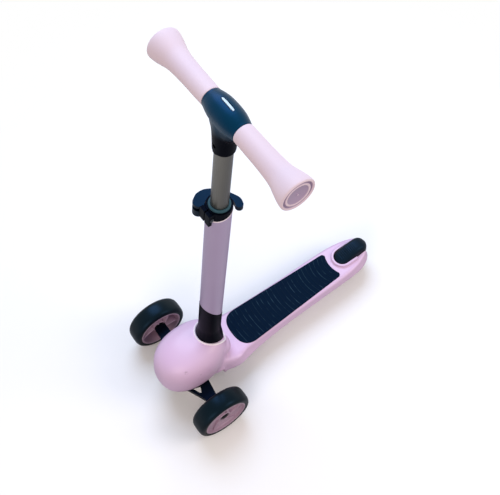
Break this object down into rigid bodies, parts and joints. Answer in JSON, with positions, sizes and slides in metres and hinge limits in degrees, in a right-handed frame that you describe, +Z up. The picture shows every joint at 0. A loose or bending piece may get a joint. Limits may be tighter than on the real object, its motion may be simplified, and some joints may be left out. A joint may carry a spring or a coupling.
{
  "type": "three-wheel kick scooter",
  "caption": "Child's lean-to-steer kick scooter with a round nose, a long foot deck, a height-adjustable T-bar and a foot brake over the rear wheel.",
  "frame": {"origin": "on the ground, under the middle of the scooter's length and width", "axes": "+Z up, the scooter faces -Y, the rider's left is +X"},
  "size_m": [0.333, 0.5436, 0.8363],
  "materials": {
    "lilac_pink_plastic": "satin moulded",
    "pale_pink_rubber": "soft matte",
    "dusty_pink_plastic": "satin moulded",
    "black_plastic": "satin moulded",
    "black_pad_rubber": "fine ribbed",
    "black_tyre_rubber": "smooth",
    "grey_bush_plastic": "satin",
    "satin_aluminium": "satin",
    "zinc_steel": "zinc plated",
    "black_oxide_steel": "black oxide"
  },
  "bodies": {
    "deck": {"bracket_screw_left": "zinc_steel", "bracket_screw_right": "zinc_steel", "brake_pin": "zinc_steel", "brake_spring": "zinc_steel", "clamp_bolt": "zinc_steel", "clamp_collar": "black_plastic", "clamp_nut": "zinc_steel", "cover_screw_front_left": "zinc_steel", "cover_screw_front_right": "zinc_steel", "cover_screw_rear_left": "zinc_steel", "cover_screw_rear_right": "zinc_steel", "deck_pad": "black_pad_rubber", "deck_shell": "lilac_pink_plastic", "kingpin": "zinc_steel", "post_bush": "grey_bush_plastic", "rear_axle_bolt": "zinc_steel", "rear_axle_nut": "zinc_steel", "rear_spacer_left": "black_plastic", "rear_spacer_right": "black_plastic", "steer_bush_lower": "grey_bush_plastic", "steer_bush_upper": "black_tyre_rubber", "stem_bolt": "zinc_steel", "stem_core": "satin_aluminium", "stem_nut": "zinc_steel", "stem_sleeve": "lilac_pink_plastic", "stem_socket": "black_plastic", "truck_bracket": "black_plastic", "underbody_cover": "black_plastic"},
    "truck": {"truck_arm": "black_plastic", "front_axle_bolt_left": "black_oxide_steel", "front_axle_bolt_right": "black_oxide_steel"},
    "front_wheel_left": {"front_wheel_left_tyre": "black_tyre_rubber", "front_wheel_left_hub": "dusty_pink_plastic", "front_wheel_left_bearing_inner": "zinc_steel", "front_wheel_left_bearing_outer": "zinc_steel", "front_wheel_left_bearing_spacer": "zinc_steel"},
    "front_wheel_right": {"front_wheel_right_tyre": "black_tyre_rubber", "front_wheel_right_hub": "dusty_pink_plastic", "front_wheel_right_bearing_inner": "zinc_steel", "front_wheel_right_bearing_outer": "zinc_steel", "front_wheel_right_bearing_spacer": "zinc_steel"},
    "rear_wheel": {"rear_wheel_tyre": "black_tyre_rubber", "rear_wheel_hub": "dusty_pink_plastic", "rear_wheel_bearing_left": "zinc_steel", "rear_wheel_bearing_right": "zinc_steel", "rear_wheel_bearing_spacer": "zinc_steel"},
    "brake": {"brake_fender": "black_plastic"},
    "handlebar": {"upper_post": "satin_aluminium", "post_glide": "grey_bush_plastic", "handlebar_hub": "black_plastic", "hub_screw": "zinc_steel", "badge_insert": "black_plastic", "bar_core": "satin_aluminium", "grip_left": "pale_pink_rubber", "grip_right": "pale_pink_rubber"},
    "clamp_lever": {"clamp_lever": "black_plastic", "clamp_pin": "zinc_steel"}
  },
  "joints": [
    {"name": "truck_lean", "type": "hinge", "parent": "deck", "child": "truck", "pos_m": [0, -0.1979, 0.066], "axis": [0, -0.7071, 0.7071], "range_deg": [-10, 10], "stiffness_Nm_per_rad": 40},
    {"name": "front_left_spin", "type": "hinge", "parent": "truck", "child": "front_wheel_left", "pos_m": [0.1217, -0.2039, 0.06], "axis": [1, 0, 0], "continuous": true},
    {"name": "front_right_spin", "type": "hinge", "parent": "truck", "child": "front_wheel_right", "pos_m": [-0.1217, -0.2039, 0.06], "axis": [1, 0, 0], "continuous": true},
    {"name": "rear_spin", "type": "hinge", "parent": "deck", "child": "rear_wheel", "pos_m": [0, 0.2301, 0.038], "axis": [1, 0, 0], "continuous": true},
    {"name": "brake_press", "type": "hinge", "parent": "deck", "child": "brake", "pos_m": [0, 0.1964, 0.068], "axis": [-1, 0, 0], "range_deg": [0, 3.5], "stiffness_Nm_per_rad": 2, "springref_deg": -8.59},
    {"name": "handlebar_slide", "type": "slide", "parent": "deck", "child": "handlebar", "axis": [0, 0.1525, 0.9883], "range_m": [-0.125, 0.03]},
    {"name": "clamp_open", "type": "hinge", "parent": "deck", "child": "clamp_lever", "pos_m": [-0.0245, -0.09809, 0.57972], "axis": [0, 0.1525, 0.9883], "range_deg": [0, 110]}
  ]
}
